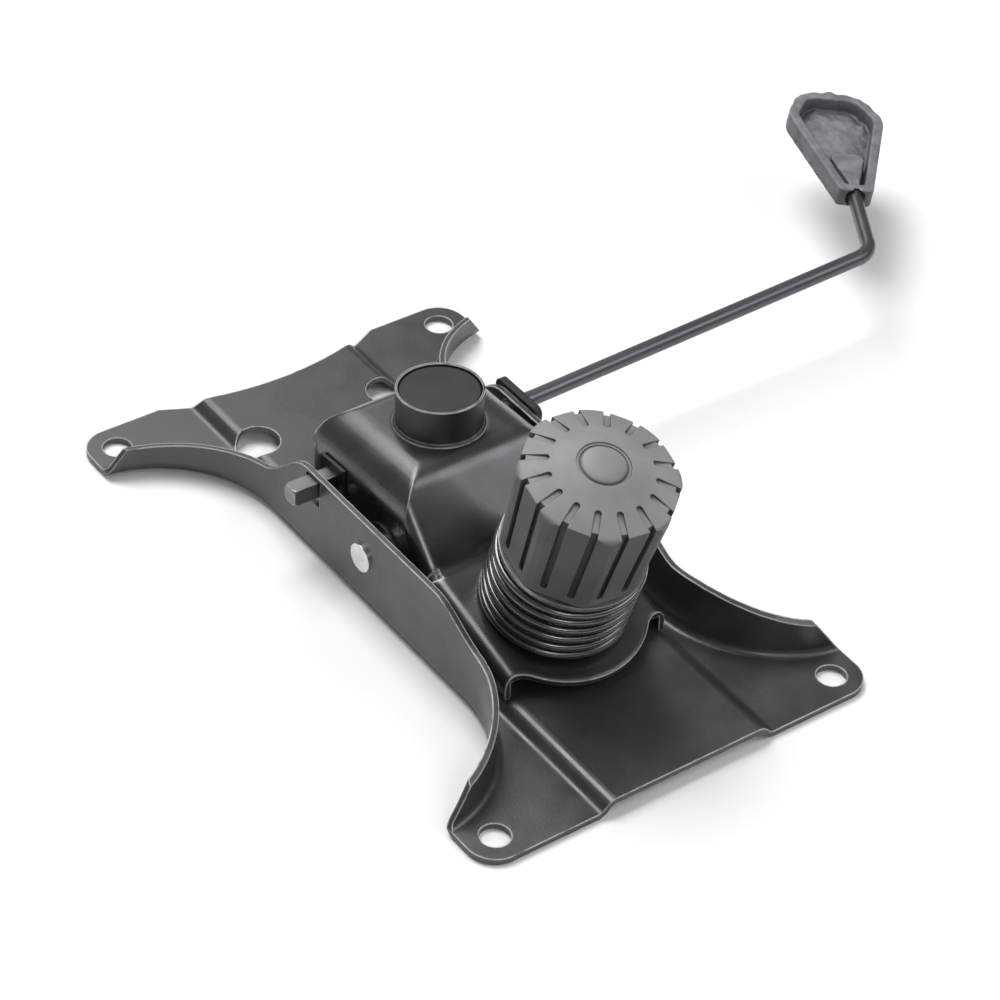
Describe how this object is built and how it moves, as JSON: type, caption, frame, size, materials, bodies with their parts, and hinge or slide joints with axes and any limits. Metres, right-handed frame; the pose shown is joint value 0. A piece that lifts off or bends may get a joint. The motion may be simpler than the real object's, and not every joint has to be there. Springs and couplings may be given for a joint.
{
  "type": "office chair tilt mechanism",
  "caption": "Pressed steel swivel chair tilt mechanism with a gas spring socket, a coil spring with a tension knob, and a bent lever that frees the height valve and locks the tilt.",
  "frame": {"origin": "centre of the four seat holes, on the plane of the seat face", "axes": "+X to the lever side, +Y to the back of the chair, +Z away from the seat towards the chair's base"},
  "size_m": [0.401, 0.284, 0.1066],
  "materials": {
    "plate_paint": "satin black powder coat",
    "housing_paint": "semi-gloss black paint",
    "spring_paint": "gloss black paint",
    "zinc": "bright zinc plating",
    "lock_steel": "plain drawn steel",
    "rod_black": "gloss black coating",
    "knob_plastic": "matt grey moulded plastic",
    "paddle_plastic": "matt grey moulded plastic",
    "black_plastic": "matt black moulded plastic",
    "nylon": "black nylon",
    "rubber": "black rubber"
  },
  "bodies": {
    "seat": {"seat_plate": "plate_paint", "pivot_axle": "zinc", "axle_clips": "zinc", "stop_buffers": "rubber", "rear_buffer": "rubber", "lever_guide": "black_plastic"},
    "housing": {"tilt_housing": "housing_paint", "gas_socket": "housing_paint", "deck_doubler": "housing_paint", "pivot_bush_near": "nylon", "pivot_bush_far": "nylon", "spring_seat": "black_plastic", "lock_bush": "nylon", "rod_bush": "nylon", "tension_spring": "spring_paint"},
    "stem": {"tension_bolt": "zinc"},
    "thrust": {"thrust_washer": "zinc"},
    "knob": {"tension_knob": "knob_plastic", "knob_nut": "zinc", "knob_cap": "knob_plastic"},
    "lock": {"lock_bar": "lock_steel", "lock_pin": "zinc"},
    "lever": {"lever_rod": "rod_black", "lever_paddle": "paddle_plastic", "valve_arm": "zinc"},
    "plug": {"socket_plug": "black_plastic"}
  },
  "joints": [
    {"name": "tilt", "type": "hinge", "parent": "seat", "child": "housing", "pos_m": [0, 0.003, 0.0228], "axis": [-1, 0, 0], "range_deg": [0, 7.02], "stiffness_Nm_per_rad": 60, "springref_deg": -8.59, "deforming": ["tension_spring"]},
    {"name": "bolt_draw", "type": "slide", "parent": "housing", "child": "stem", "axis": [0, 0.2419, -0.9703], "range_m": [0, 0.00671]},
    {"name": "knob_travel", "type": "slide", "parent": "stem", "child": "thrust", "axis": [0, 0.2419, -0.9703], "range_m": [0, 0.0015]},
    {"name": "knob_turn", "type": "hinge", "parent": "thrust", "child": "knob", "pos_m": [0, -0.05598, 0.02231], "axis": [0, 0.2419, -0.9703], "range_deg": [0, 361]},
    {"name": "lock_slide", "type": "slide", "parent": "housing", "child": "lock", "axis": [1, 0, 0], "range_m": [0, 0.014]},
    {"name": "lever_lift", "type": "hinge", "parent": "lock", "child": "lever", "pos_m": [0, 0.03717, 0.03404], "axis": [-1, 0, 0], "range_deg": [0, 12]},
    {"name": "plug_pull", "type": "slide", "parent": "housing", "child": "plug", "axis": [0, 0.0698, 0.9976], "range_m": [0, 0.06]}
  ],
  "couplings": [
    {"joint": "tilt", "follows": "bolt_draw", "rad_per_m": 18.215},
    {"joint": "knob_turn", "follows": "knob_travel", "rad_per_m": 4188.8}
  ]
}
